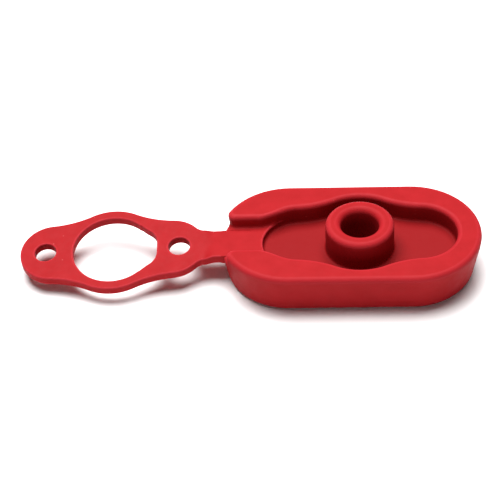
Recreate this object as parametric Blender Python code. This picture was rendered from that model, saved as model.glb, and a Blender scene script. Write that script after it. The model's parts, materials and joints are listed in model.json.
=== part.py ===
"""Silicone dust cover for the charging socket of an electric scooter.

One moulding in soft rubber: a lozenge-shaped cap with a hollow plug inside it, and a thin
mounting ring that a short strap ties to the cap. The cap stands on its closed face with
the cavity up. The strap leaves through a slot in the rim and the ring reaches out along -X.

The moulding is divided into its working regions, each a solid of its own. The strap is
divided where it flexes: two hinges inside the slot fold the ring over into the cavity,
and two in the free neck let it sag and twist.

Units are metres. The origin is on the table, in the middle of the overall length.
"""

import math

import bmesh
import bpy

# ---------------------------------------------------------------- driving dimensions
CAP_LENGTH = 0.0511         # at its widest, just below the rounding of the rim
CAP_WIDTH = 0.0274
CAP_HEIGHT = 0.0092
CAP_FLOOR = 0.0051          # height of the cavity's floor
WALL_DRAFT = 0.0015         # how far the outer wall leans in on each side, down to the table
FACE_ROUNDING = 0.0010      # edge round the closed face
RIM_ROUNDING = 0.0010       # outer edge of the rim

BOSS_RADIUS = 0.00665
BOSS_TOP = 0.0115
BOSS_ROUNDING = 0.0008
BORE_RADIUS = 0.0037
BORE_MOUTH = 0.0003         # chamfer round the bore's mouth
BORE_FLOOR = 0.0025

RING_TO_BOSS = 0.0484       # distance between the two centres, strap straight
BOSS_OFFSET = 0.00195       # the plug sits past the cap's middle, away from the strap
BAND_RADIUS = 0.0097
LOBE_RADIUS = 0.0066
LOBE_OFFSET = 0.0116
WAIST_RADIUS = 0.0200       # hollow between the band and a lobe
CAVITY_CLEARANCE = 0.0007   # the cavity is the ring's outline, this much larger
OPENING_RADIUS = 0.00775
KEYWAY_REACH = 0.0088
KEYWAY_HALF_WIDTH = 0.0030
KEYWAY_ROUNDING = 0.0013
KEYWAY_SLOPE = math.radians(36.0)   # how steeply each side of the keyway closes in
SCREW_HOLE_RADIUS = 0.0021
SCREW_SPACING = 0.0264

STRAP_TOP = 0.00655
STRAP_THICKNESS = 0.0019
STRAP_HALF_WIDTH = 0.0037
SHOULDER_ROUNDING = 0.0008
SLOT_HALF_WIDTH = 0.0045
SLOT_FLARE = 0.0012         # how much wider the slot is on each side at the outer wall
SLOT_FLARE_START = 0.0236   # from the plug's centre

FOLD_ANGLE = math.radians(90.0)   # each of the two fold hinges turns this far
FOLD_RISE = 0.0027          # height that the folded strap climbs between the two
SAG_HINGE = 0.0276          # from the plug's centre
TWIST_HINGE = 0.0294
SAG = math.radians(2.8)     # how far the ring hangs at rest
TWIST = math.radians(9.0)   # how far its far side is raised at rest

GAP = 0.0003                # clearance between neighbouring solids
ARC_STEP = math.radians(9.0)

# ---------------------------------------------------------------- worked-out places
RING_HALF_LENGTH = LOBE_OFFSET + LOBE_RADIUS
OVERALL_LENGTH = RING_HALF_LENGTH + RING_TO_BOSS - BOSS_OFFSET + CAP_LENGTH / 2
CAP_X = (OVERALL_LENGTH - CAP_LENGTH) / 2
BOSS_X = CAP_X + BOSS_OFFSET
RIM_SHOULDER = CAP_HEIGHT - RIM_ROUNDING         # height at which the cap is widest
STRAP_MIDDLE = STRAP_TOP - STRAP_THICKNESS / 2
SLOT_LEDGE = STRAP_TOP - STRAP_THICKNESS - GAP   # top of the cap below the strap
INNER_FOLD = (RING_TO_BOSS - FOLD_RISE) / 2   # from the plug's centre, as is the outer one
OUTER_FOLD = INNER_FOLD + FOLD_RISE
FOLD_RELIEF = STRAP_THICKNESS / 2 * math.tan(FOLD_ANGLE / 2)
WALL_X = CAP_X - CAP_LENGTH / 2               # outer wall at the strap's end
RUBBER_RED = (0.66, 0.030, 0.036, 1.0)


# ---------------------------------------------------------------- outlines
def arc(centre_x, centre_y, radius, start, end):
    """Points along an arc from one angle to another, both ends included."""
    steps = max(1, math.ceil(abs(end - start) / ARC_STEP))
    points = []
    for step in range(steps + 1):
        angle = start + (end - start) * step / steps
        points.append((centre_x + radius * math.cos(angle), centre_y + radius * math.sin(angle)))
    return points


def drop_repeats(points):
    """The same loop without points that lie on the one before them."""
    kept = []
    for x, y in points:
        if not kept or math.hypot(x - kept[-1][0], y - kept[-1][1]) > 1e-6:
            kept.append((x, y))
    if math.hypot(kept[0][0] - kept[-1][0], kept[0][1] - kept[-1][1]) < 1e-6:
        kept.pop()
    return kept


def circle(radius, centre_x=0.0, centre_y=0.0, count=48):
    """A full circle as one loop."""
    points = []
    for step in range(count):
        angle = 2 * math.pi * step / count
        points.append((centre_x + radius * math.cos(angle), centre_y + radius * math.sin(angle)))
    return points


def stadium(length, width, centre_x):
    """Two half circles joined by straight sides."""
    radius = width / 2
    reach = length / 2 - radius
    points = arc(centre_x + reach, 0, radius, -math.pi / 2, math.pi / 2)
    points += arc(centre_x - reach, 0, radius, math.pi / 2, 3 * math.pi / 2)
    return drop_repeats(points)


def cap_outline(height, inset=0.0):
    """The cap's outline at a height, drawn in further on every side by an inset."""
    drawn_in = inset + WALL_DRAFT * max(0.0, 1 - height / RIM_SHOULDER)
    return stadium(CAP_LENGTH - 2 * drawn_in, CAP_WIDTH - 2 * drawn_in, CAP_X)


def rectangle(x_low, x_high, y_low, y_high):
    """An upright rectangle as one loop."""
    return [(x_low, y_low), (x_high, y_low), (x_high, y_high), (x_low, y_high)]


def lobed_side(grow):
    """The ring's outline over y > 0, from its +X end round to its -X end."""
    waist_to_band = BAND_RADIUS + WAIST_RADIUS
    waist_to_lobe = LOBE_RADIUS + WAIST_RADIUS
    waist_x = (waist_to_band ** 2 - waist_to_lobe ** 2 + LOBE_OFFSET ** 2) / (2 * LOBE_OFFSET)
    waist_y = math.sqrt(waist_to_band ** 2 - waist_x ** 2)
    lobe_turn = math.atan2(waist_y, waist_x - LOBE_OFFSET)
    band_turn = math.atan2(waist_y, waist_x)
    half = arc(LOBE_OFFSET, 0, LOBE_RADIUS + grow, 0, lobe_turn)
    half += arc(waist_x, waist_y, WAIST_RADIUS - grow, lobe_turn - math.pi, band_turn - math.pi)
    half += arc(0, 0, BAND_RADIUS + grow, band_turn, math.pi / 2)
    mirrored = [(-x, y) for x, y in reversed(half)]
    return half + mirrored


def lobed(grow, centre_x):
    """The whole ring outline, made larger on every side by the given amount."""
    side = lobed_side(grow)
    points = side + [(x, -y) for x, y in reversed(side)]
    return drop_repeats([(x + centre_x, y) for x, y in points])


def ring_with_neck(centre_x, neck_end):
    """The ring outline with the strap's neck growing out of its +X lobe."""
    fillet_y = STRAP_HALF_WIDTH + SHOULDER_ROUNDING
    reach = math.sqrt((LOBE_RADIUS + SHOULDER_ROUNDING) ** 2 - fillet_y ** 2)
    fillet_turn = math.atan2(fillet_y, reach)
    side = [(neck_end - centre_x, STRAP_HALF_WIDTH)]
    side += arc(LOBE_OFFSET + reach, fillet_y, SHOULDER_ROUNDING, -math.pi / 2, fillet_turn - math.pi)
    for x, y in lobed_side(0.0):
        if x < LOBE_OFFSET or math.atan2(y, x - LOBE_OFFSET) > fillet_turn:
            side.append((x, y))
    points = side + [(x, -y) for x, y in reversed(side)]
    return drop_repeats([(x + centre_x, y) for x, y in points])


def keyed_opening(centre_x):
    """The ring's round opening with a blunt, tapering keyway on its +X side."""
    slope_sine = math.sin(KEYWAY_SLOPE)
    slope_cosine = math.cos(KEYWAY_SLOPE)
    side_turn = math.pi / 2 - KEYWAY_SLOPE
    side_distance = KEYWAY_REACH * slope_sine + KEYWAY_HALF_WIDTH * slope_cosine
    meet = side_turn - math.acos(side_distance / OPENING_RADIUS)
    corner_x = KEYWAY_REACH - KEYWAY_ROUNDING
    corner_y = KEYWAY_HALF_WIDTH - KEYWAY_ROUNDING * (1 - slope_sine) / slope_cosine
    points = arc(corner_x, -corner_y, KEYWAY_ROUNDING, -side_turn, 0)
    points += arc(corner_x, corner_y, KEYWAY_ROUNDING, 0, side_turn)
    points += arc(0, 0, OPENING_RADIUS, meet, 2 * math.pi - meet)
    return drop_repeats([(x + centre_x, y) for x, y in points])


def slot_outline():
    """The slot in the rim, wider towards the outer wall, as a loop about y = 0."""
    start_x = BOSS_X - SLOT_FLARE_START
    run = start_x - WALL_X
    radius = (run ** 2 + SLOT_FLARE ** 2) / (2 * SLOT_FLARE)
    turn = math.asin(run / radius)
    side = arc(start_x, SLOT_HALF_WIDTH + radius, radius, -math.pi / 2, -math.pi / 2 - turn)
    inner = BOSS_X - LOBE_OFFSET
    outer = WALL_X - LOBE_RADIUS
    points = [(inner, SLOT_HALF_WIDTH)] + side + [(outer, side[-1][1])]
    return drop_repeats(points + [(x, -y) for x, y in reversed(points)])


# ---------------------------------------------------------------- solids
def loft(sections, closed=False):
    """Join loops of equal length, each (outline, height), into a solid."""
    mesh = bmesh.new()
    rows = []
    for outline, height in sections:
        rows.append([mesh.verts.new((x, y, height)) for x, y in outline])
    pairs = list(zip(rows, rows[1:]))
    if closed:
        pairs.append((rows[-1], rows[0]))
    else:
        mesh.faces.new(rows[0])
        mesh.faces.new(rows[-1])
    count = len(rows[0])
    for lower, upper in pairs:
        for index in range(count):
            after = (index + 1) % count
            mesh.faces.new((lower[index], lower[after], upper[after], upper[index]))
    bmesh.ops.recalc_face_normals(mesh, faces=mesh.faces)
    return mesh


def prism(outline, low, high):
    """An outline extruded between two heights."""
    return loft([(outline, low), (outline, high)])


def side_prism(profile, half_width):
    """A profile in x and z extruded the same way on both sides of y = 0."""
    mesh = bmesh.new()
    near = [mesh.verts.new((x, -half_width, z)) for x, z in profile]
    far = [mesh.verts.new((x, half_width, z)) for x, z in profile]
    count = len(profile)
    mesh.faces.new(near)
    mesh.faces.new(far)
    for index in range(count):
        after = (index + 1) % count
        mesh.faces.new((near[index], near[after], far[after], far[index]))
    bmesh.ops.recalc_face_normals(mesh, faces=mesh.faces)
    return mesh


def rubber(name, shade):
    """Red silicone rubber, a little lighter or darker from one region to the next."""
    material = bpy.data.materials.new(name)
    material.use_nodes = True
    surface = material.node_tree.nodes["Principled BSDF"]
    red, green, blue, alpha = RUBBER_RED
    surface.inputs["Base Color"].default_value = (red * shade, green * shade, blue * shade, alpha)
    surface.inputs["Roughness"].default_value = 0.5
    surface.inputs["Metallic"].default_value = 0.0
    return material


def add_solid(name, mesh, shade=1.0, parent=None):
    """One named object with its own material, smooth on its round faces."""
    data = bpy.data.meshes.new(name)
    mesh.to_mesh(data)
    mesh.free()
    data.materials.append(rubber(name + "_rubber", shade))
    data.shade_smooth()
    data.set_sharp_from_angle(angle=math.radians(30))
    solid = bpy.data.objects.new(name, data)
    bpy.context.scene.collection.objects.link(solid)
    solid.parent = parent
    return solid


def shape_with(solid, mesh, operation="DIFFERENCE"):
    """Cut a solid with a hidden tool, or keep only what is inside the tool."""
    data = bpy.data.meshes.new(solid.name + "_tool")
    mesh.to_mesh(data)
    mesh.free()
    tool = bpy.data.objects.new(solid.name + "_tool", data)
    bpy.context.scene.collection.objects.link(tool)
    tool.parent = solid.parent
    tool.hide_render = True
    tool.display_type = "WIRE"
    boolean = solid.modifiers.new("shape", "BOOLEAN")
    boolean.operation = operation
    boolean.solver = "EXACT"
    boolean.object = tool


def add_hinge(name, parent, location, rotation=(0.0, 0.0, 0.0)):
    """An empty on a hinge's axis, which carries everything beyond the hinge."""
    hinge = bpy.data.objects.new(name, None)
    hinge.empty_display_size = 0.002
    bpy.context.scene.collection.objects.link(hinge)
    hinge.parent = parent
    hinge.location = location
    hinge.rotation_euler = rotation
    return hinge


# ---------------------------------------------------------------- the cap
def rounded_edge(edge_height, radius, upwards, steps=3):
    """Sections of the cap that round its top or bottom edge with the given radius."""
    sections = []
    for step in range(steps + 1):
        angle = math.pi / 2 * step / steps
        inset = radius * (1 - math.cos(angle))
        drop = radius * (1 - math.sin(angle))
        height = edge_height - drop if upwards else edge_height + drop
        sections.append((cap_outline(height, inset), height))
    return sections if upwards else list(reversed(sections))


def make_cap_face():
    """The closed face: a thick plate with the blind end of the plug's bore in it."""
    sections = rounded_edge(0.0, FACE_ROUNDING, upwards=False)
    sections.append((cap_outline(CAP_FLOOR), CAP_FLOOR))
    face = add_solid("cap_face", loft(sections), shade=0.85)
    bore = circle(BORE_RADIUS, BOSS_X)
    shape_with(face, prism(bore, BORE_FLOOR, CAP_FLOOR + GAP))
    seat_end = BOSS_X - INNER_FOLD + GAP / 2
    seat = rectangle(WALL_X - GAP, seat_end, -STRAP_HALF_WIDTH - GAP, STRAP_HALF_WIDTH + GAP)
    shape_with(face, prism(seat, SLOT_LEDGE, CAP_FLOOR + GAP))


def make_cap_rim():
    """The wall round the cavity, with the slot that the strap passes through."""
    base = CAP_FLOOR + GAP
    sections = [(cap_outline(base), base)]
    sections += rounded_edge(CAP_HEIGHT, RIM_ROUNDING, upwards=True)
    rim = add_solid("cap_rim", loft(sections), shade=1.0)
    below = CAP_FLOOR
    above = CAP_HEIGHT + GAP
    shape_with(rim, prism(lobed(CAVITY_CLEARANCE, BOSS_X), below, above))
    groove_half = STRAP_HALF_WIDTH + GAP
    groove = rectangle(WALL_X - GAP, BOSS_X - LOBE_OFFSET, -groove_half, groove_half)
    shape_with(rim, prism(groove, below, above))
    shape_with(rim, prism(slot_outline(), STRAP_TOP, above))


def make_plug_boss():
    """The hollow plug that slips over the socket's barrel."""
    base = CAP_FLOOR + GAP
    sections = [(circle(BOSS_RADIUS, BOSS_X), base)]
    for step in range(4):
        angle = math.pi / 2 * step / 3
        radius = BOSS_RADIUS - BOSS_ROUNDING * (1 - math.cos(angle))
        height = BOSS_TOP - BOSS_ROUNDING * (1 - math.sin(angle))
        sections.append((circle(radius, BOSS_X), height))
    sections.append((circle(BORE_RADIUS + BORE_MOUTH, BOSS_X), BOSS_TOP))
    sections.append((circle(BORE_RADIUS, BOSS_X), BOSS_TOP - BORE_MOUTH))
    sections.append((circle(BORE_RADIUS, BOSS_X), base))
    add_solid("plug_boss", loft(sections, closed=True), shade=0.95)


def make_strap_root():
    """The sill at the bottom of the slot, where the strap grows out of the cap."""
    edge = LOBE_RADIUS + CAVITY_CLEARANCE
    turn = math.asin(STRAP_HALF_WIDTH / edge)
    end = BOSS_X - INNER_FOLD + GAP / 2
    outline = arc(BOSS_X - LOBE_OFFSET, 0, edge, math.pi - turn, math.pi + turn)
    outline += [(end, -STRAP_HALF_WIDTH), (end, STRAP_HALF_WIDTH)]
    root = add_solid("strap_root", prism(outline, CAP_FLOOR + GAP, STRAP_TOP), shade=1.05)
    relief_top = (end + FOLD_RELIEF, STRAP_TOP)
    profile = [(end, STRAP_MIDDLE), relief_top, (end, STRAP_TOP + GAP), (end - GAP, STRAP_MIDDLE)]
    shape_with(root, side_prism(profile, 2 * STRAP_HALF_WIDTH))


# ---------------------------------------------------------------- the strap
def link_profile(length, near_folds, far_folds):
    """A link from x = 0 to x = -length, its top drawn back where it folds upwards."""
    half = STRAP_THICKNESS / 2
    near = -GAP / 2
    far = GAP / 2 - length
    near_top = near - FOLD_RELIEF if near_folds else near
    far_top = far + FOLD_RELIEF if far_folds else far
    return [(near, -half), (near, 0.0), (near_top, half), (far_top, half), (far, 0.0), (far, -half)]


def add_link(name, hinge, length, near_folds=False, far_folds=False):
    """One stretch of the strap, hanging on the hinge at its +X end."""
    profile = link_profile(length, near_folds, far_folds)
    add_solid(name, side_prism(profile, STRAP_HALF_WIDTH), shade=0.9, parent=hinge)


def make_strap():
    """The chain of hinges: two in the slot, then sag and twist in the free neck."""
    inner = add_hinge("fold_inner", None, (BOSS_X - INNER_FOLD, 0.0, STRAP_MIDDLE))
    add_link("fold_link", inner, FOLD_RISE, near_folds=True, far_folds=True)

    outer = add_hinge("fold_outer", inner, (-FOLD_RISE, 0.0, 0.0))
    first = SAG_HINGE - OUTER_FOLD
    add_link("neck_link_1", outer, first, near_folds=True)

    sag = add_hinge("neck_sag", outer, (-first, 0.0, 0.0), (0.0, -SAG, 0.0))
    second = TWIST_HINGE - SAG_HINGE
    add_link("neck_link_2", sag, second)
    return add_hinge("neck_twist", sag, (-second, 0.0, 0.0), (TWIST, 0.0, 0.0))


# ---------------------------------------------------------------- the mounting ring
def make_ring(twist):
    """The ring in three regions: the band round the opening and a screw eyelet each side."""
    centre = TWIST_HINGE - RING_TO_BOSS
    half = STRAP_THICKNESS / 2
    outline = ring_with_neck(centre, -GAP / 2)
    joint = BAND_RADIUS + GAP / 2
    far_end = -RING_HALF_LENGTH - GAP
    regions = {
        "eyelet_inner": (joint + GAP / 2, RING_HALF_LENGTH + TWIST_HINGE, SCREW_SPACING / 2),
        "socket_band": (-joint + GAP / 2, joint - GAP / 2, 0.0),
        "eyelet_outer": (far_end, -joint - GAP / 2, -SCREW_SPACING / 2),
    }
    for name, (low, high, hole) in regions.items():
        solid = add_solid(name, prism(outline, -half, half), shade=0.95, parent=twist)
        keep = rectangle(centre + low, centre + high, -CAP_WIDTH, CAP_WIDTH)
        shape_with(solid, prism(keep, -CAP_HEIGHT, CAP_HEIGHT), "INTERSECT")
        if name == "socket_band":
            cut = keyed_opening(centre)
        else:
            cut = circle(SCREW_HOLE_RADIUS, centre + hole, count=32)
        shape_with(solid, prism(cut, -CAP_HEIGHT, CAP_HEIGHT))


def main():
    for item in list(bpy.data.objects):
        bpy.data.objects.remove(item, do_unlink=True)
    make_cap_face()
    make_cap_rim()
    make_plug_boss()
    make_strap_root()
    twist = make_strap()
    make_ring(twist)


main()
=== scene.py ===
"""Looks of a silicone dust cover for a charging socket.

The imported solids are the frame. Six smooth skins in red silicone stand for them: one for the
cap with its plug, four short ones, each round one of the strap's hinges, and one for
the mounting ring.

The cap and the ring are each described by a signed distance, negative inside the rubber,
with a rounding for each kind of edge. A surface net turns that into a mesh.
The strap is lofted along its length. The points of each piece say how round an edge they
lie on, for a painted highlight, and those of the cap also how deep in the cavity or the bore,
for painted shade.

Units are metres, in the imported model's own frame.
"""

import itertools
import json
import math

import bmesh
import bpy
import numpy as np
from mathutils import Matrix, Vector


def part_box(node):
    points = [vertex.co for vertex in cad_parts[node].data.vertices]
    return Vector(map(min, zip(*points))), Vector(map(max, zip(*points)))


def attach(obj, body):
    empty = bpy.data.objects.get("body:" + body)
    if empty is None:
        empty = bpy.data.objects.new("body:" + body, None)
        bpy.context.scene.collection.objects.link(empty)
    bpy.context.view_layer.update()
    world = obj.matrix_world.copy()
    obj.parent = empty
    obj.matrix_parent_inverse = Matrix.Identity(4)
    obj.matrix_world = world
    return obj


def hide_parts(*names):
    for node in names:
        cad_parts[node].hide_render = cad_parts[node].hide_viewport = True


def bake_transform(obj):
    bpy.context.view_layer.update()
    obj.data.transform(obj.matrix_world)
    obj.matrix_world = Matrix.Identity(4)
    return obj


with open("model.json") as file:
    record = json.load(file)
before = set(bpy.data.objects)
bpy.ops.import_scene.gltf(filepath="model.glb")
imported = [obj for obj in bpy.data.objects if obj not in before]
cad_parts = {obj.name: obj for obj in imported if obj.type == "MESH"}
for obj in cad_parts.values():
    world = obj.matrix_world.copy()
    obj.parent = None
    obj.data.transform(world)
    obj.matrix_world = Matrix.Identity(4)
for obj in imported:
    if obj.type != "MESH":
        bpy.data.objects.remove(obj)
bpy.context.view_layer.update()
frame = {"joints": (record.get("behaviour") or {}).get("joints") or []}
JOINTS = {joint["name"]: joint for joint in frame["joints"]}

# ---------------------------------------------------------------- sizes read from the frame
FACE_LOW, FACE_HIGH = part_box("cap_face")
RIM_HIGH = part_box("cap_rim")[1]
BOSS_LOW, BOSS_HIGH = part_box("plug_boss")
LINK_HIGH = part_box("fold_link")[1]
CAP_X = (FACE_LOW.x + FACE_HIGH.x) / 2
CAP_LENGTH = 2 * (RIM_HIGH.x - CAP_X)
CAP_WIDTH = 2 * RIM_HIGH.y
CAP_FLOOR = FACE_HIGH.z
CAP_HEIGHT = RIM_HIGH.z
BOSS_X = (BOSS_LOW.x + BOSS_HIGH.x) / 2
BOSS_RADIUS = (BOSS_HIGH.y - BOSS_LOW.y) / 2
BOSS_TOP = BOSS_HIGH.z
STRAP_HALF_WIDTH = LINK_HIGH.y
STRAP_MIDDLE = JOINTS["fold_inner"]["pos_m"][2]
STRAP_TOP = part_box("strap_root")[1].z
STRAP_HALF = STRAP_TOP - STRAP_MIDDLE         # half its thickness

# ---------------------------------------------------------------- sizes shared with the solids
FACE_ROUNDING = 0.0010
RIM_ROUNDING = 0.0010
WALL_DRAFT = 0.0015                           # how far the outer wall leans in, down to the table
BORE_RADIUS = 0.0037
BORE_FLOOR = 0.0025
BAND_RADIUS = 0.0097
LOBE_RADIUS = 0.0066
LOBE_OFFSET = 0.0116
WAIST_RADIUS = 0.0200
CAVITY_CLEARANCE = 0.0007
OPENING_RADIUS = 0.00775
KEYWAY_REACH = 0.0088
KEYWAY_HALF_WIDTH = 0.0030
KEYWAY_ROUNDING = 0.0013
KEYWAY_SLOPE = math.radians(36.0)
SCREW_HOLE_RADIUS = 0.0021
SCREW_SPACING = 0.0264
RING_TO_BOSS = 0.0484
SLOT_HALF_WIDTH = 0.0045
SLOT_FLARE = 0.0012
SLOT_FLARE_START = 0.0236                     # from the plug's centre
SHOULDER_ROUNDING = 0.0008
SAG = math.radians(JOINTS["neck_sag"]["range_deg"][1])
TWIST = math.radians(JOINTS["neck_twist"]["range_deg"][1])

# ---------------------------------------------------------------- roundings of the moulding
SLOT_CORNER = 0.0022        # seen from above, where the slot opens into the cavity
SLOT_MOUTH = 0.0020         # the same, where the slot leaves through the outer wall
SHOULDER_BLEND = 0.0004     # height over which the outer wall turns from its draft to upright
FLOOR_FILLET = 0.0005       # foot of the cavity's wall
STEP_ROUNDING = 0.0003      # edge of the slot's floor
RIM_INNER_ROUNDING = 0.0009
BOSS_ROUNDING = 0.0010
BORE_MOUTH = 0.0012
BOSS_FOOT = 0.0004
RING_EDGE = 0.00026
KEYWAY_FILLET = 0.0005      # where the keyway's sides meet the round opening
SEAM_EDGE = 0.00004         # edge of the strap where it lies flush in the slot
SEAM_GAP = 0.00004
LEDGE_DROP = 0.0003         # room below the strap in the slot
NECK_SPARE = 0.0010         # length of neck that is made with the ring and trimmed off
SEAT_SPARE = 0.00015        # how far the strap is seated before its first bend
PAST_WALL = 0.0010          # how far the cutter for the seat stands out of the wall
CREASE = math.radians(60)   # faces that meet at more than this have a sharp edge
EDGE_PROBE = 0.00012        # how far round a point its roundness is felt
EDGE_ROUNDNESS = 2400.0     # an edge this round, in 1/m, gets the full painted highlight
WITHIN_ROUNDING = 0.99      # share of the strap's edge rounding that counts as its edge, for the painted highlight
PAINTED_SHADE_EDGE = 0.0003       # how softly the painted shade of the cavity begins at its walls
# depths below the rim and below the plug's top at which the painted shade of the cavity and of
# the bore is full
CAVITY_SHADE_DEPTH = 0.0025
BORE_SHADE_DEPTH = 0.0040

# ---------------------------------------------------------------- where the strap flexes
# Distances along the strap from the plug's centre. A zone has its hinge in its middle.
FOLD_REACH = 0.0013
INNER_FOLD = BOSS_X - JOINTS["fold_inner"]["pos_m"][0]
OUTER_FOLD = BOSS_X - JOINTS["fold_outer"]["pos_m"][0]
SAG_HINGE = BOSS_X - JOINTS["neck_sag"]["pos_m"][0]
TWIST_HINGE = 0.0294
SEAT_END = INNER_FOLD - FOLD_REACH - SEAT_SPARE
FOLD_SEAM = (INNER_FOLD + OUTER_FOLD) / 2
SAG_START = OUTER_FOLD + FOLD_REACH
SAG_END = 2 * SAG_HINGE - SAG_START
TWIST_START = SAG_END
TWIST_END = 2 * TWIST_HINGE - TWIST_START
WALL = BOSS_X - CAP_X + CAP_LENGTH / 2        # outer wall of the cap
RIM_SHOULDER = CAP_HEIGHT - RIM_ROUNDING      # height where the outer wall's draft ends
STRAP_WALL = WALL - WALL_DRAFT * (1 - STRAP_MIDDLE / RIM_SHOULDER)   # the same, beside the strap

CAP_STEP = 0.00022          # size of the cells that the cap's surface is found in
RING_STEP = 0.00018
SLOPE_STEP = 1e-6           # for measuring how a distance changes
LEAST_SLOPE = 0.25          # squared, so that a point near a sharp corner doesn't leap

# ---------------------------------------------------------------- look of the rubber
RED_DEEP = (0.30, 0.0086, 0.0110, 1)
RED_BRIGHT = (0.325, 0.0100, 0.0130, 1)
# painted shade, deeper red in the cavity and the bore
RED_PAINTED_SHADE = (0.225, 0.0070, 0.0085, 1)
# painted highlight along rounded edges
RED_EDGE_HIGHLIGHT = (0.41, 0.024, 0.032, 1)
DUST = (0.60, 0.16, 0.15, 1)
DUST_MOST = 0.35            # how much of its own colour a speck of dust has
DUST_CELLS = 520            # cells per metre, of which only a few hold a speck
DUST_PICK = (0.80, 0.84)    # random values of a cell between which its speck comes in
DUST_EDGE = (0.04, 0.09)    # distances from a speck's middle, in cells, between which it fades
CLOUDS = 320                # cells per metre of the pigment's clouds
CLOUD_EDGE = (0.35, 0.65)   # noise between which a cloud goes from deep to bright
DULL_PATCHES = 900          # cells per metre of the change in roughness
NOISE_SPAN = (0.3, 0.7)     # noise between which the roughness and the card change
GRAIN = 7000                # cells per metre of the moulded grain
GRAIN_HEIGHT = 0.00004
GRAIN_STRENGTH = 0.12
ROUGHNESS = (0.46, 0.58)
SPECULAR = 0.05


# ---------------------------------------------------------------- signed distances
def both(a, b, rounding):
    """Where two shapes overlap, with the edge between them rounded."""
    beyond = np.hypot(np.maximum(a + rounding, 0), np.maximum(b + rounding, 0))
    return np.minimum(np.maximum(a, b), -rounding) + beyond


def either(a, b, fillet):
    """Two shapes together, with a fillet where they meet."""
    return -both(-a, -b, fillet)


def stadium(x, y, z):
    """The cap's outline, which draws in towards the table."""
    straight = (CAP_LENGTH - CAP_WIDTH) / 2
    below = RIM_SHOULDER - z
    drawn_in = WALL_DRAFT * (below + np.hypot(below, SHOULDER_BLEND)) / 2 / RIM_SHOULDER
    return np.hypot(np.maximum(np.abs(x - CAP_X) - straight, 0), y) - CAP_WIDTH / 2 + drawn_in


def lobed(x, y, grow):
    """The mounting ring's outline about its centre, made larger by the given amount."""
    to_band = BAND_RADIUS + WAIST_RADIUS
    to_lobe = LOBE_RADIUS + WAIST_RADIUS
    waist_x = (to_band ** 2 - to_lobe ** 2 + LOBE_OFFSET ** 2) / (2 * LOBE_OFFSET)
    waist_y = math.sqrt(to_band ** 2 - waist_x ** 2)
    x = np.abs(x)
    y = np.abs(y)
    band = np.hypot(x, y) - BAND_RADIUS
    lobe = np.hypot(x - LOBE_OFFSET, y) - LOBE_RADIUS
    waist = WAIST_RADIUS - np.hypot(x - waist_x, y - waist_y)
    past_band = waist_x * y < waist_y * x
    before_lobe = (waist_x - LOBE_OFFSET) * y > waist_y * (x - LOBE_OFFSET)
    return np.where(past_band & before_lobe, waist, np.minimum(band, lobe)) - grow


def slot(x, y):
    """The slot in the rim, about the plug's centre, wider towards the outer wall."""
    run = WALL - SLOT_FLARE_START
    radius = (run ** 2 + SLOT_FLARE ** 2) / (2 * SLOT_FLARE)
    along = np.maximum(-x - SLOT_FLARE_START, 0)
    side = radius - np.hypot(along, SLOT_HALF_WIDTH + radius - np.abs(y))
    return np.maximum(side, x + LOBE_OFFSET)


def keyed_opening(x, y):
    """The ring's round opening, with a blunt keyway that tapers towards +X."""
    slope_sine = math.sin(KEYWAY_SLOPE)
    slope_cosine = math.cos(KEYWAY_SLOPE)
    side_distance = KEYWAY_REACH * slope_sine + KEYWAY_HALF_WIDTH * slope_cosine
    meet = math.pi / 2 - KEYWAY_SLOPE - math.acos(side_distance / OPENING_RADIUS)
    side = x * slope_sine + np.abs(y) * slope_cosine - side_distance
    keyway = both(x - KEYWAY_REACH, side, KEYWAY_ROUNDING)
    keyway = np.maximum(keyway, OPENING_RADIUS * math.cos(meet) - x)
    return either(np.hypot(x, y) - OPENING_RADIUS, keyway, KEYWAY_FILLET)


def cap_distance(x, y, z):
    """The cap with its cavity, slot and plug."""
    x_boss = x - BOSS_X
    outer_wall = stadium(x, y, z)
    blank = both(outer_wall, -z, FACE_ROUNDING)
    blank = both(blank, z - CAP_HEIGHT, RIM_ROUNDING)

    cavity = lobed(x_boss, y, CAVITY_CLEARANCE)
    wall = -either(cavity, slot(x_boss, y), SLOT_CORNER)
    sill = both(either(z - STRAP_TOP, wall, FLOOR_FILLET), -cavity, STEP_ROUNDING)
    inner = either(z - CAP_FLOOR, np.minimum(wall, sill), FLOOR_FILLET)
    shell = both(blank, inner, RIM_INNER_ROUNDING)
    above_strap = both(both(outer_wall, wall, SLOT_MOUTH), z - CAP_HEIGHT, RIM_INNER_ROUNDING)
    below_strap = both(outer_wall, z - STRAP_TOP, RIM_INNER_ROUNDING)
    shell = np.maximum(shell, either(above_strap, below_strap, FLOOR_FILLET))

    from_axis = np.hypot(x_boss, y)
    boss = both(from_axis - BOSS_RADIUS, z - BOSS_TOP, BOSS_ROUNDING)
    boss = np.maximum(boss, CAP_FLOOR / 2 - z)
    bore = both(from_axis - BORE_RADIUS, BORE_FLOOR - z, FLOOR_FILLET)
    return both(either(shell, boss, BOSS_FOOT), -bore, BORE_MOUTH)


def ring_distance(x, y, z):
    """The mounting ring and the end of the strap, lying straight."""
    x_ring = x - BOSS_X + RING_TO_BOSS
    neck_end = RING_TO_BOSS - TWIST_END + NECK_SPARE
    neck = np.maximum(np.abs(y) - STRAP_HALF_WIDTH, LOBE_OFFSET - x_ring)
    neck = np.maximum(neck, x_ring - neck_end)
    plan = either(lobed(x_ring, y, 0), neck, SHOULDER_ROUNDING)
    plan = np.maximum(plan, -keyed_opening(x_ring, y))
    hole = np.hypot(np.abs(x_ring) - SCREW_SPACING / 2, y) - SCREW_HOLE_RADIUS
    plan = np.maximum(plan, -hole)
    return both(plan, np.abs(z - STRAP_MIDDLE) - STRAP_HALF, RING_EDGE)


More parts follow.
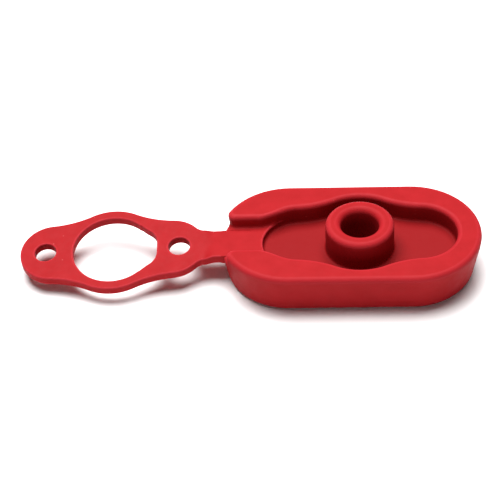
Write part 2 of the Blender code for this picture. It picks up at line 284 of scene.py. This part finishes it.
# ---------------------------------------------------------------- meshes
def pull_onto(distance, points, rounds=4):
    """Move points along the slope of a distance until they lie on its surface."""
    for _ in range(rounds):
        here = distance(*points.T)
        slope = np.empty_like(points)
        for axis in range(3):
            beside = points.copy()
            beside[:, axis] += SLOPE_STEP
            slope[:, axis] = (distance(*beside.T) - here) / SLOPE_STEP
        steepness = np.maximum((slope ** 2).sum(1), LEAST_SLOPE)
        points = points - (here / steepness)[:, None] * slope
    return points


def surface_net(distance, low, high, step):
    """Points and quads of a surface: one point in each cell that it passes through, and
    one quad round each edge of the grid that it crosses. The grid has two spare cells on
    each side."""
    axes = [np.arange(low[k] - 2 * step, high[k] + 2.5 * step, step) for k in range(3)]
    value = distance(*np.ix_(*axes))
    inside = value < 0
    shape = np.array(inside.shape) - 1
    count = np.zeros(shape, np.int8)
    for corner in itertools.product((0, 1), repeat=3):
        count += inside[tuple(slice(c, c + n) for c, n in zip(corner, shape))]
    crossed = (count > 0) & (count < 8)
    number = np.full(shape, -1)
    number[crossed] = np.arange(crossed.sum())
    start = np.array([axis[0] for axis in axes])
    points = start + (np.argwhere(crossed) + 0.5) * step

    quads = []
    for k in range(3):
        lower = np.take(inside, range(inside.shape[k] - 1), k)
        upper = np.take(inside, range(1, inside.shape[k]), k)
        edge = np.argwhere(lower != upper)
        side_u = np.eye(3, dtype=int)[(k + 1) % 3]
        side_v = np.eye(3, dtype=int)[(k + 2) % 3]
        cells = [edge, edge - side_u, edge - side_u - side_v, edge - side_v]
        quad = np.stack([number[tuple(cell.T)] for cell in cells], 1)
        outward = lower[tuple(edge.T)]
        quads.append(np.where(outward[:, None], quad, quad[:, ::-1]))
    return pull_onto(distance, points), np.concatenate(quads)


def painted_edge_highlight(distance, points):
    """How much painted highlight a point gets: from 0 on flat and hollow stretches to 1 on the
    roundest edges.
    """
    here = distance(*points.T)
    roundness = np.zeros(len(points))
    for axis in range(3):
        for sign in (-1, 1):
            beside = points.copy()
            beside[:, axis] += sign * EDGE_PROBE
            roundness += distance(*beside.T) - here
    return ease(roundness / EDGE_PROBE ** 2, 0, EDGE_ROUNDNESS)


def set_shade(piece, name, values):
    """Give each point of a piece a value that its material reads."""
    shade = piece.data.attributes.new(name, "FLOAT", "POINT")
    shade.data.foreach_set("value", values)


def add_piece(name, points, faces):
    """A smooth-shaded mesh object, sharp only where faces meet at more than the crease."""
    data = bpy.data.meshes.new(name)
    data.from_pydata(points.tolist(), [], faces if isinstance(faces, list) else faces.tolist())
    data.validate()
    data.shade_smooth()
    data.set_sharp_from_angle(angle=CREASE)
    piece = bpy.data.objects.new(name, data)
    bpy.context.scene.collection.objects.link(piece)
    data.materials.append(RUBBER)
    return piece


def cut_out(piece, low, high):
    """Take a box out of a piece, with crisp edges."""
    corners = list(itertools.product(*zip(low, high)))
    sides = [(0, 1, 3, 2), (4, 6, 7, 5), (0, 4, 5, 1), (2, 3, 7, 6), (0, 2, 6, 4), (1, 5, 7, 3)]
    data = bpy.data.meshes.new("cutter")
    data.from_pydata(corners, [], sides)
    cutter = bpy.data.objects.new("cutter", data)
    bpy.context.scene.collection.objects.link(cutter)
    boolean = piece.modifiers.new("cut", "BOOLEAN")
    boolean.solver = "EXACT"
    boolean.object = cutter
    graph = bpy.context.evaluated_depsgraph_get()
    cut = bpy.data.meshes.new_from_object(piece.evaluated_get(graph))
    piece.modifiers.clear()
    piece.data = cut
    bpy.data.objects.remove(cutter)


# ---------------------------------------------------------------- how the strap hangs at rest
def ease(value, start, end):
    """0 before start and 1 after end, with a smooth turn between them."""
    part = np.clip((value - start) / (end - start), 0, 1)
    return part * part * (3 - 2 * part)


def hang(points):
    """Carry points of the straight strap and ring to where they hang at rest."""
    reach = BOSS_X - points[:, 0]
    x, y, z = points.T

    turn = ease(reach, TWIST_START, TWIST_END) * TWIST
    rise = z - STRAP_MIDDLE
    twisted_y = y * np.cos(turn) - rise * np.sin(turn)
    twisted_z = y * np.sin(turn) + rise * np.cos(turn)

    drop = -ease(reach, SAG_START, SAG_END) * SAG
    along = x - (BOSS_X - SAG_HINGE)
    hung_x = along * np.cos(drop) + twisted_z * np.sin(drop) + BOSS_X - SAG_HINGE
    hung_z = twisted_z * np.cos(drop) - along * np.sin(drop) + STRAP_MIDDLE
    return np.stack([hung_x, twisted_y, hung_z], 1)


# ---------------------------------------------------------------- the pieces
def painted_shade(x, y, z):
    """How much painted shade a point of the cap gets, from 0 to 1, by how deep in the cavity or
    the bore it lies. The closed face is in neither."""
    x_boss = x - BOSS_X
    in_cavity = ease(-lobed(x_boss, y, CAVITY_CLEARANCE), -PAINTED_SHADE_EDGE, 0)
    in_cavity = in_cavity * ease(CAP_HEIGHT - z, 0, CAVITY_SHADE_DEPTH)
    in_bore = ease(BORE_RADIUS - np.hypot(x_boss, y), -PAINTED_SHADE_EDGE, 0)
    in_bore = in_bore * ease(BOSS_TOP - z, BOSS_ROUNDING, BORE_SHADE_DEPTH)
    above_face = z > BORE_FLOOR / 2
    return np.where(above_face, np.maximum(in_cavity, in_bore), 0)


def make_cap_skin():
    """The cap, its plug and the sill that the strap leaves from."""
    low = (CAP_X - CAP_LENGTH / 2, -CAP_WIDTH / 2, 0.0)
    high = (CAP_X + CAP_LENGTH / 2, CAP_WIDTH / 2, BOSS_TOP)
    points, quads = surface_net(cap_distance, low, high, CAP_STEP)
    piece = add_piece("cap_skin", points, quads)
    half = STRAP_HALF_WIDTH + SEAM_GAP
    seat_low = (BOSS_X - WALL - PAST_WALL, -half, STRAP_TOP - 2 * STRAP_HALF - LEDGE_DROP)
    seat_high = (BOSS_X - SEAT_END, half, CAP_HEIGHT)
    cut_out(piece, seat_low, seat_high)
    places = np.array([vert.co for vert in piece.data.vertices])
    # painted shade in the cavity and the bore
    set_shade(piece, "painted_shade", painted_shade(*places.T))
    # painted highlight along rounded edges
    set_shade(piece, "painted_edge_highlight", painted_edge_highlight(cap_distance, places))
    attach(piece, "cap")
    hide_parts("cap_face", "cap_rim", "plug_boss", "strap_root")


def strap_section(edge):
    """Points round the strap's cross-section, each as (y, z) about its middle."""
    corner_steps = 5
    flat_steps = 14
    y_corner = STRAP_HALF_WIDTH - edge
    z_corner = STRAP_HALF - edge
    loop = []
    for quarter in range(4):
        y_side = 1 if quarter in (0, 3) else -1
        z_side = 1 if quarter in (0, 1) else -1
        for step in range(corner_steps + 1):
            angle = math.pi / 2 * (quarter + step / corner_steps)
            y = y_side * y_corner + edge * math.cos(angle)
            z = z_side * z_corner + edge * math.sin(angle)
            loop.append((y, z))
        if quarter in (0, 2):
            for step in range(1, flat_steps):
                y = y_side * y_corner * (1 - 2 * step / flat_steps)
                loop.append((y, z_side * STRAP_HALF))
    return loop


def make_strap_skin(name, start, end, node):
    """A stretch of the strap round one of its hinges, as it hangs at rest."""
    rows = 33
    points = []
    highlight_amounts = []
    for row in range(rows):
        reach = start + (end - start) * row / (rows - 1)
        free = float(ease(reach, STRAP_WALL - RING_EDGE, STRAP_WALL + RING_EDGE))
        edge = SEAM_EDGE + (RING_EDGE - SEAM_EDGE) * free
        round_part = WITHIN_ROUNDING * edge
        for y, z in strap_section(edge):
            points.append((BOSS_X - reach, y, STRAP_MIDDLE + z))
            on_side = abs(z) < STRAP_HALF - round_part
            on_flat = abs(y) < STRAP_HALF_WIDTH - round_part
            # painted highlight on the strap's rounded corners, where it hangs free of the cap
            highlight_amounts.append(0.0 if on_side or on_flat else free)
    count = len(points) // rows
    faces = []
    for row in range(rows - 1):
        for index in range(count):
            after = (index + 1) % count
            near = row * count
            far = near + count
            faces.append((near + index, far + index, far + after, near + after))
    faces.append(list(range(count)))
    faces.append(list(reversed(range(len(points) - count, len(points)))))
    piece = add_piece(name, hang(np.array(points)), faces)
    set_shade(piece, "painted_edge_highlight", highlight_amounts)
    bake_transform(piece)
    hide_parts(node)


def make_strap_skins():
    """The four stretches of the strap, from the cap to the ring."""
    link = "fold_link"
    near = "neck_link_1"
    far = "neck_link_2"
    make_strap_skin("fold_inner_skin", SEAT_END, FOLD_SEAM, link)
    make_strap_skin("fold_outer_skin", FOLD_SEAM, SAG_START, near)
    make_strap_skin("neck_sag_skin", SAG_START, SAG_END, far)
    make_strap_skin("neck_twist_skin", TWIST_START, TWIST_END, far)


def make_ring_skin():
    """The mounting ring with the last of the neck, cut off square where the strap's skin ends."""
    reach = LOBE_OFFSET + LOBE_RADIUS
    centre = BOSS_X - RING_TO_BOSS
    seam = BOSS_X - TWIST_END
    low = (centre - reach, -BAND_RADIUS, STRAP_MIDDLE - STRAP_HALF)
    high = (seam + NECK_SPARE, BAND_RADIUS, STRAP_MIDDLE + STRAP_HALF)
    points, quads = surface_net(ring_distance, low, high, RING_STEP)
    mesh = bmesh.new()
    corners = [mesh.verts.new(point) for point in points]
    for quad in quads:
        mesh.faces.new([corners[index] for index in quad])
    everything = mesh.verts[:] + mesh.edges[:] + mesh.faces[:]
    bmesh.ops.bisect_plane(
        mesh, geom=everything, plane_co=(seam, 0, 0), plane_no=(1, 0, 0), clear_outer=True
    )
    bmesh.ops.holes_fill(mesh, edges=[edge for edge in mesh.edges if edge.is_boundary], sides=0)
    mesh.verts.index_update()
    places = np.array([vert.co for vert in mesh.verts])
    faces = [[vert.index for vert in face.verts] for face in mesh.faces]
    mesh.free()
    piece = add_piece("ring_skin", hang(places), faces)
    # painted highlight along rounded edges
    set_shade(piece, "painted_edge_highlight", painted_edge_highlight(ring_distance, places))
    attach(piece, "ring")
    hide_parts("eyelet_inner", "socket_band", "eyelet_outer")


# ---------------------------------------------------------------- red silicone
def link_noise(tree, scale, detail):
    """Noise in the piece's own coordinates, in cells per metre."""
    place = tree.nodes.new("ShaderNodeTexCoord")
    noise = tree.nodes.new("ShaderNodeTexNoise")
    noise.inputs["Scale"].default_value = scale
    noise.inputs["Detail"].default_value = detail
    tree.links.new(place.outputs["Object"], noise.inputs["Vector"])
    return noise.outputs["Fac"]


def spread(tree, value, low, high, to_low, to_high):
    """Map a value from one range to another, and keep it within the second."""
    node = tree.nodes.new("ShaderNodeMapRange")
    ends = {"From Min": low, "From Max": high, "To Min": to_low, "To Max": to_high}
    for name, end in ends.items():
        node.inputs[name].default_value = end
    tree.links.new(value, node.inputs["Value"])
    return node.outputs["Result"]


def mix(tree, factor, first, second):
    """Mix two colours, each a colour or the output of a node."""
    node = tree.nodes.new("ShaderNodeMix")
    node.data_type = "RGBA"
    tree.links.new(factor, node.inputs["Factor"])
    for name, colour in (("A", first), ("B", second)):
        socket = next(s for s in node.inputs if s.name == name and s.type == "RGBA")
        if isinstance(colour, tuple):
            socket.default_value = colour
        else:
            tree.links.new(colour, socket)
    return next(s for s in node.outputs if s.type == "RGBA")


def make_silicone():
    """Matte red silicone: cloudy pigment, a fine moulded grain and a few specks of dust.

    Painted shade makes it deeper red in the cavity and the bore, and a painted highlight makes
    it paler along rounded edges."""
    material = bpy.data.materials.new("red_silicone")
    material.use_nodes = True
    tree = material.node_tree
    surface = tree.nodes["Principled BSDF"]

    cloud = spread(tree, link_noise(tree, CLOUDS, 3), *CLOUD_EDGE, 0, 1)
    pigment = mix(tree, cloud, RED_DEEP, RED_BRIGHT)
    # painted shade deepens the red in the cavity and the bore; a painted highlight pales it along
    # rounded edges
    for name, shade in (("painted_shade", RED_PAINTED_SHADE), ("painted_edge_highlight", RED_EDGE_HIGHLIGHT)):
        amount = tree.nodes.new("ShaderNodeAttribute")
        amount.attribute_name = name
        pigment = mix(tree, amount.outputs["Fac"], pigment, shade)

    place = tree.nodes.new("ShaderNodeTexCoord")
    cells = tree.nodes.new("ShaderNodeTexVoronoi")
    cells.inputs["Scale"].default_value = DUST_CELLS
    tree.links.new(place.outputs["Object"], cells.inputs["Vector"])
    near = spread(tree, cells.outputs["Distance"], *DUST_EDGE, 1, 0)
    chosen = spread(tree, cells.outputs["Color"], *DUST_PICK, 0, DUST_MOST)
    speck = tree.nodes.new("ShaderNodeMath")
    speck.operation = "MULTIPLY"
    tree.links.new(near, speck.inputs[0])
    tree.links.new(chosen, speck.inputs[1])
    pigment = mix(tree, speck.outputs[0], pigment, DUST)
    tree.links.new(pigment, surface.inputs["Base Color"])

    rough = spread(tree, link_noise(tree, DULL_PATCHES, 4), *NOISE_SPAN, *ROUGHNESS)
    tree.links.new(rough, surface.inputs["Roughness"])
    surface.inputs["Specular IOR Level"].default_value = SPECULAR

    grain = tree.nodes.new("ShaderNodeBump")
    grain.inputs["Strength"].default_value = GRAIN_STRENGTH
    grain.inputs["Distance"].default_value = GRAIN_HEIGHT
    tree.links.new(link_noise(tree, GRAIN, 3), grain.inputs["Height"])
    tree.links.new(grain.outputs["Normal"], surface.inputs["Normal"])
    return material


# ---------------------------------------------------------------- floor, light and camera
FLOOR_HALF = 0.45
CARD_DULL = (0.90, 0.90, 0.90, 1)
CARD_PALE = (0.92, 0.92, 0.92, 1)
CARD_PATCHES = 40           # cells per metre of the card's faint mottling
WORLD_LIGHT = 0.04
WORLD_SEEN = 1.0            # the backdrop's brightness to the camera, without lighting anything


def make_floor():
    """A square of pale card under the part."""
    half = FLOOR_HALF
    data = bpy.data.meshes.new("floor")
    corners = [(-half, -half, 0), (half, -half, 0), (half, half, 0), (-half, half, 0)]
    data.from_pydata(corners, [], [(0, 1, 2, 3)])
    floor = bpy.data.objects.new("floor", data)
    bpy.context.scene.collection.objects.link(floor)
    material = bpy.data.materials.new("pale_card")
    material.use_nodes = True
    tree = material.node_tree
    surface = tree.nodes["Principled BSDF"]
    shade = spread(tree, link_noise(tree, CARD_PATCHES, 2), *NOISE_SPAN, 0, 1)
    card = mix(tree, shade, CARD_DULL, CARD_PALE)
    tree.links.new(card, surface.inputs["Base Color"])
    surface.inputs["Roughness"].default_value = 0.9
    surface.inputs["Specular IOR Level"].default_value = 0.1
    data.materials.append(material)


def add_light(name, place, size, power):
    """A square soft box that faces the part."""
    data = bpy.data.lights.new(name, "AREA")
    data.shape = "SQUARE"
    data.size = size
    data.energy = power
    light = bpy.data.objects.new(name, data)
    light.location = place
    facing = -Vector(place)
    light.rotation_euler = facing.to_track_quat("-Z", "Y").to_euler()
    bpy.context.scene.collection.objects.link(light)


def make_lights():
    """A large soft box above, a weak one in front, and a backdrop that looks white but gives
    little light."""
    add_light("key", place=(-0.05, 0.15, 0.58), size=0.50, power=9.4)
    add_light("front", place=(0.05, -0.60, 0.13), size=0.30, power=0.7)
    world = bpy.data.worlds.new("studio")
    world.use_nodes = True
    tree = world.node_tree
    sky = tree.nodes["Background"]
    sky.inputs["Color"].default_value = (1, 1, 1, 1)
    seen = tree.nodes.new("ShaderNodeLightPath").outputs["Is Camera Ray"]
    tree.links.new(spread(tree, seen, 0, 1, WORLD_LIGHT, WORLD_SEEN), sky.inputs["Strength"])
    bpy.context.scene.world = world
    bpy.context.scene.view_settings.view_transform = "Standard"


CAMERA_AIM = Vector((CAP_X - 0.01965, 0.00170, 0.00308))
CAMERA_DISTANCE = 0.3932
CAMERA_ELEVATION = math.radians(42.5)
CAMERA_AZIMUTH = math.radians(3.3)
CAMERA_ROLL = math.radians(-3.0)
CAMERA_LENS = 144           # millimetres, on a sensor of the width below
CAMERA_SENSOR = 36


def make_camera():
    """A long lens from in front and above, with a slight roll."""
    flat = math.cos(CAMERA_ELEVATION)
    aside = math.sin(CAMERA_AZIMUTH) * flat
    forward = -math.cos(CAMERA_AZIMUTH) * flat
    back = Vector((aside, forward, math.sin(CAMERA_ELEVATION)))
    level = Vector((math.cos(CAMERA_AZIMUTH), math.sin(CAMERA_AZIMUTH), 0))
    upright = back.cross(level)
    right = level * math.cos(CAMERA_ROLL) + upright * math.sin(CAMERA_ROLL)
    up = upright * math.cos(CAMERA_ROLL) - level * math.sin(CAMERA_ROLL)
    data = bpy.data.cameras.new("camera")
    data.lens = CAMERA_LENS
    data.sensor_width = CAMERA_SENSOR
    data.clip_start = 0.01
    camera = bpy.data.objects.new("camera", data)
    turn = Matrix((right, up, back)).transposed().to_4x4()
    camera.matrix_world = Matrix.Translation(CAMERA_AIM + back * CAMERA_DISTANCE) @ turn
    bpy.context.scene.collection.objects.link(camera)
    bpy.context.scene.camera = camera


RUBBER = make_silicone()
make_camera()
make_cap_skin()
make_strap_skins()
make_ring_skin()
make_floor()
make_lights()
